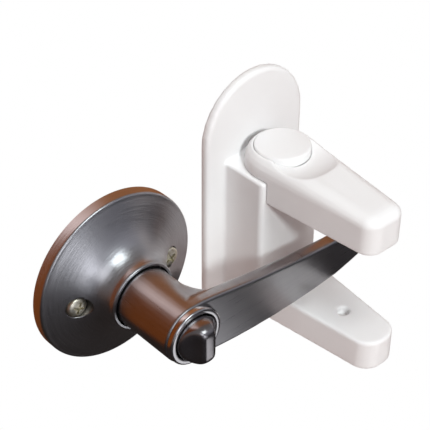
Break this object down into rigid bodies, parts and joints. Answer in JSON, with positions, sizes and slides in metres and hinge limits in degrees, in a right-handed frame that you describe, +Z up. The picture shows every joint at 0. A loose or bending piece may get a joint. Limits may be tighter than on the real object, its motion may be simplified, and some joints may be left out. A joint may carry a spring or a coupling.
{
  "type": "lever handle lock",
  "caption": "Lever door handle on a round rose with a privacy thumb turn, and a stick-on white safety lock whose swinging arm and prong hold the lever still.",
  "frame": {"origin": "on the lever's turning axis, in the plane of the door's face", "axes": "+X along the door from the rose to the lock, +Y into the door, +Z up"},
  "size_m": [0.125, 0.0892, 0.0945],
  "materials": {
    "satin_nickel": "satin nickel plate, brushed round the axis",
    "dark_nickel": "dark satin nickel plate",
    "plain_steel": "plain steel, not seen once fitted",
    "zinc_plated": "yellow zinc plate",
    "nylon": "natural nylon",
    "white_plastic": "white moulded plastic with a soft sheen",
    "foam_tape": "white foam tape"
  },
  "bodies": {
    "fixed": {"rose_cover": "satin_nickel", "rose_insert": "plain_steel", "mounting_screw_left": "zinc_plated", "mounting_screw_right": "zinc_plated", "neck_bush": "nylon", "lever_return_spring": "plain_steel", "lock_body": "white_plastic", "back_plate": "white_plastic", "back_plate_screw_1": "zinc_plated", "back_plate_screw_2": "zinc_plated", "back_plate_screw_3": "zinc_plated", "back_plate_screw_4": "zinc_plated", "adhesive_pad_upper": "foam_tape", "adhesive_pad_lower": "foam_tape", "catch_plate": "plain_steel", "pivot_washer": "plain_steel", "pivot_screw": "zinc_plated"},
    "lever": {"lever_handle": "satin_nickel", "hub_bezel": "satin_nickel", "drive_cam": "plain_steel", "drive_spindle": "plain_steel", "retaining_ring": "plain_steel", "lever_set_screw": "plain_steel"},
    "turn": {"thumb_turn": "dark_nickel", "turn_clip": "plain_steel", "locking_bar": "plain_steel"},
    "arm": {"swing_arm": "white_plastic", "button_spring": "plain_steel"},
    "button": {"release_button": "white_plastic", "latch_key": "plain_steel"}
  },
  "joints": [
    {"name": "lever_turn", "type": "hinge", "parent": "fixed", "child": "lever", "pos_m": [0, 0, 0], "axis": [0, -1, 0], "range_deg": [-7, 9], "stiffness_Nm_per_rad": 2, "springref_deg": 1.72, "deforming": ["lever_return_spring"]},
    {"name": "thumb_turn", "type": "hinge", "parent": "lever", "child": "turn", "pos_m": [0, 0, 0], "axis": [0, -1, 0], "range_deg": [0, 90]},
    {"name": "arm_swing", "type": "hinge", "parent": "fixed", "child": "arm", "pos_m": [0.0658, -0.0181, 0.025], "axis": [0, 0, 1], "range_deg": [0, 90]},
    {"name": "button_press", "type": "slide", "parent": "arm", "child": "button", "axis": [0, 0, -1], "range_m": [0, 0.0024], "stiffness_N_per_m": 500, "springref_m": -0.003, "deforming": ["button_spring"]}
  ]
}
